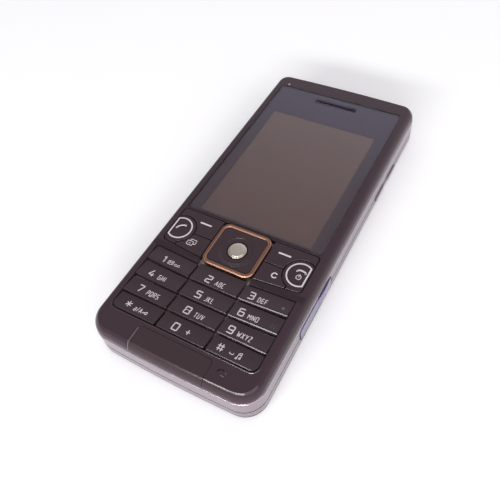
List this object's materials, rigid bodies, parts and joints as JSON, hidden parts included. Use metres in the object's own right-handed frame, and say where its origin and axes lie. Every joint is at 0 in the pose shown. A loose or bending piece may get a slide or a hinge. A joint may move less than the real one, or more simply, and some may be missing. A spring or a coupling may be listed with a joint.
{
  "type": "mobile phone",
  "caption": "Candybar camera phone with a framed navigation key, number keypad, sliding lens cover on the back and a removable battery cover.",
  "frame": {"origin": "middle of the footprint of the closed phone lying on its back", "axes": "+Z out of the display, +Y along the phone towards the earpiece end, +X to the right when facing the display"},
  "size_m": [0.0478, 0.107, 0.0125],
  "materials": {
    "dark_shell": "satin gloss moulded plastic",
    "dark_gloss": "gloss moulded plastic",
    "window": "gloss hard-coated acrylic",
    "clear_lens": "polished clear",
    "silver_band": "satin silver paint",
    "silver_trim": "brushed",
    "back_shell": "soft-touch matte",
    "copper_trim": "polished copper tone",
    "champagne_key": "satin",
    "lilac_key": "pearl lilac paint",
    "key_cap": "gloss moulded plastic",
    "display": "unlit display panel",
    "black_plastic": "moulded",
    "blue_plastic": "moulded",
    "steel": "stamped",
    "rubber_mat": "translucent silicone",
    "board": "green solder mask",
    "foam": "foam",
    "battery_wrap": "printed film over cell",
    "card": "card",
    "tungsten": "sintered"
  },
  "bodies": {
    "housing": {"front_cover": "dark_shell", "chin_plate": "dark_gloss", "display_window": "window", "earpiece_mesh": "steel", "sensor_lens": "clear_lens", "display_module": "display", "display_gasket": "foam", "chassis_plate": "steel", "mid_frame": "silver_band", "back_housing": "silver_band", "camera_ring": "silver_trim", "camera_window": "clear_lens", "camera_module": "black_plastic", "flash_window": "clear_lens", "flash_leds": "card", "loudspeaker": "black_plastic", "earpiece": "black_plastic", "microphone": "steel", "main_board": "board", "shield_cans": "steel", "keypad_mat": "rubber_mat", "dome_sheet": "card", "battery": "battery_wrap", "battery_contacts": "black_plastic", "sim_holder": "steel", "memory_holder": "steel", "vibration_motor": "steel", "side_connector": "blue_plastic", "antenna_carrier": "black_plastic", "housing_screws": "steel"},
    "key_1": {"key_1": "key_cap"},
    "key_2": {"key_2": "key_cap"},
    "key_3": {"key_3": "key_cap"},
    "key_4": {"key_4": "key_cap"},
    "key_5": {"key_5": "key_cap"},
    "key_6": {"key_6": "key_cap"},
    "key_7": {"key_7": "key_cap"},
    "key_8": {"key_8": "key_cap"},
    "key_9": {"key_9": "key_cap"},
    "key_star": {"key_star": "key_cap"},
    "key_0": {"key_0": "key_cap"},
    "key_hash": {"key_hash": "key_cap"},
    "end_key": {"end_key": "key_cap"},
    "call_key": {"call_key": "key_cap"},
    "right_soft_key": {"right_soft_key": "key_cap"},
    "left_soft_key": {"left_soft_key": "key_cap"},
    "clear_key": {"clear_key": "key_cap"},
    "activity_key": {"activity_key": "key_cap"},
    "nav_rocker": {"nav_carrier": "black_plastic"},
    "nav_key": {"nav_frame": "copper_trim", "nav_pad": "key_cap"},
    "select_key": {"select_key": "champagne_key"},
    "volume_rocker": {"volume_rocker": "silver_band"},
    "shutter_key": {"shutter_key": "lilac_key"},
    "lens_cover": {"lens_cover": "silver_trim"},
    "battery_cover": {"battery_cover": "back_shell"},
    "memory_card": {"memory_card": "black_plastic"},
    "sim_card": {"sim_card": "card"},
    "vibration_weight": {"vibration_weight": "tungsten"},
    "lens_barrel": {"lens_barrel": "black_plastic"}
  },
  "joints": [
    {"name": "key_1_press", "type": "slide", "parent": "housing", "child": "key_1", "axis": [0, 0, -1], "range_m": [0, 0.0003], "stiffness_N_per_m": 5000},
    {"name": "key_2_press", "type": "slide", "parent": "housing", "child": "key_2", "axis": [0, 0, -1], "range_m": [0, 0.0003], "stiffness_N_per_m": 5000},
    {"name": "key_3_press", "type": "slide", "parent": "housing", "child": "key_3", "axis": [0, 0, -1], "range_m": [0, 0.0003], "stiffness_N_per_m": 5000},
    {"name": "key_4_press", "type": "slide", "parent": "housing", "child": "key_4", "axis": [0, 0, -1], "range_m": [0, 0.0003], "stiffness_N_per_m": 5000},
    {"name": "key_5_press", "type": "slide", "parent": "housing", "child": "key_5", "axis": [0, 0, -1], "range_m": [0, 0.0003], "stiffness_N_per_m": 5000},
    {"name": "key_6_press", "type": "slide", "parent": "housing", "child": "key_6", "axis": [0, 0, -1], "range_m": [0, 0.0003], "stiffness_N_per_m": 5000},
    {"name": "key_7_press", "type": "slide", "parent": "housing", "child": "key_7", "axis": [0, 0, -1], "range_m": [0, 0.0003], "stiffness_N_per_m": 5000},
    {"name": "key_8_press", "type": "slide", "parent": "housing", "child": "key_8", "axis": [0, 0, -1], "range_m": [0, 0.0003], "stiffness_N_per_m": 5000},
    {"name": "key_9_press", "type": "slide", "parent": "housing", "child": "key_9", "axis": [0, 0, -1], "range_m": [0, 0.0003], "stiffness_N_per_m": 5000},
    {"name": "key_star_press", "type": "slide", "parent": "housing", "child": "key_star", "axis": [0, 0, -1], "range_m": [0, 0.0003], "stiffness_N_per_m": 5000},
    {"name": "key_0_press", "type": "slide", "parent": "housing", "child": "key_0", "axis": [0, 0, -1], "range_m": [0, 0.0003], "stiffness_N_per_m": 5000},
    {"name": "key_hash_press", "type": "slide", "parent": "housing", "child": "key_hash", "axis": [0, 0, -1], "range_m": [0, 0.0003], "stiffness_N_per_m": 5000},
    {"name": "end_key_press", "type": "slide", "parent": "housing", "child": "end_key", "axis": [0, 0, -1], "range_m": [0, 0.0003], "stiffness_N_per_m": 5000},
    {"name": "call_key_press", "type": "slide", "parent": "housing", "child": "call_key", "axis": [0, 0, -1], "range_m": [0, 0.0003], "stiffness_N_per_m": 5000},
    {"name": "right_soft_key_press", "type": "slide", "parent": "housing", "child": "right_soft_key", "axis": [0, 0, -1], "range_m": [0, 0.0003], "stiffness_N_per_m": 5000},
    {"name": "left_soft_key_press", "type": "slide", "parent": "housing", "child": "left_soft_key", "axis": [0, 0, -1], "range_m": [0, 0.0003], "stiffness_N_per_m": 5000},
    {"name": "clear_key_press", "type": "slide", "parent": "housing", "child": "clear_key", "axis": [0, 0, -1], "range_m": [0, 0.0003], "stiffness_N_per_m": 5000},
    {"name": "activity_key_press", "type": "slide", "parent": "housing", "child": "activity_key", "axis": [0, 0, -1], "range_m": [0, 0.0003], "stiffness_N_per_m": 5000},
    {"name": "select_key_press", "type": "slide", "parent": "housing", "child": "select_key", "axis": [0, 0, -1], "range_m": [0, 0.00025], "stiffness_N_per_m": 5000},
    {"name": "nav_rocker_side", "type": "hinge", "parent": "housing", "child": "nav_rocker", "pos_m": [0, -0.01855, 0.01045], "axis": [0, 1, 0], "range_deg": [-1.8, 1.8], "stiffness_Nm_per_rad": 2},
    {"name": "nav_key_tilt", "type": "hinge", "parent": "nav_rocker", "child": "nav_key", "pos_m": [0, -0.01855, 0.01083], "axis": [1, 0, 0], "range_deg": [-1.8, 1.8], "stiffness_Nm_per_rad": 2},
    {"name": "volume_rocker_tilt", "type": "hinge", "parent": "housing", "child": "volume_rocker", "pos_m": [0.0223, 0.0271, 0.003], "axis": [0, 0, 1], "range_deg": [-1.8, 1.8], "stiffness_Nm_per_rad": 2},
    {"name": "shutter_key_press", "type": "slide", "parent": "housing", "child": "shutter_key", "axis": [-1, 0, 0], "range_m": [0, 0.0004], "stiffness_N_per_m": 4000},
    {"name": "lens_cover_slide", "type": "slide", "parent": "housing", "child": "lens_cover", "axis": [-1, 0, 0], "range_m": [0, 0.0176]},
    {"name": "battery_cover_slide", "type": "slide", "parent": "housing", "child": "battery_cover", "axis": [0, -1, 0], "range_m": [0, 0.082]},
    {"name": "memory_card_slide", "type": "slide", "parent": "housing", "child": "memory_card", "axis": [1, 0, 0], "range_m": [0, 0.014]},
    {"name": "sim_card_slide", "type": "slide", "parent": "housing", "child": "sim_card", "axis": [1, 0, 0], "range_m": [0, 0.009]},
    {"name": "lens_barrel_focus", "type": "slide", "parent": "housing", "child": "lens_barrel", "axis": [0, 0, -1], "range_m": [0, 0.0003], "stiffness_N_per_m": 60},
    {"name": "vibration_weight_spin", "type": "hinge", "parent": "housing", "child": "vibration_weight", "pos_m": [-0.009, 0.0495, 0.00395], "axis": [1, 0, 0], "continuous": true}
  ]
}
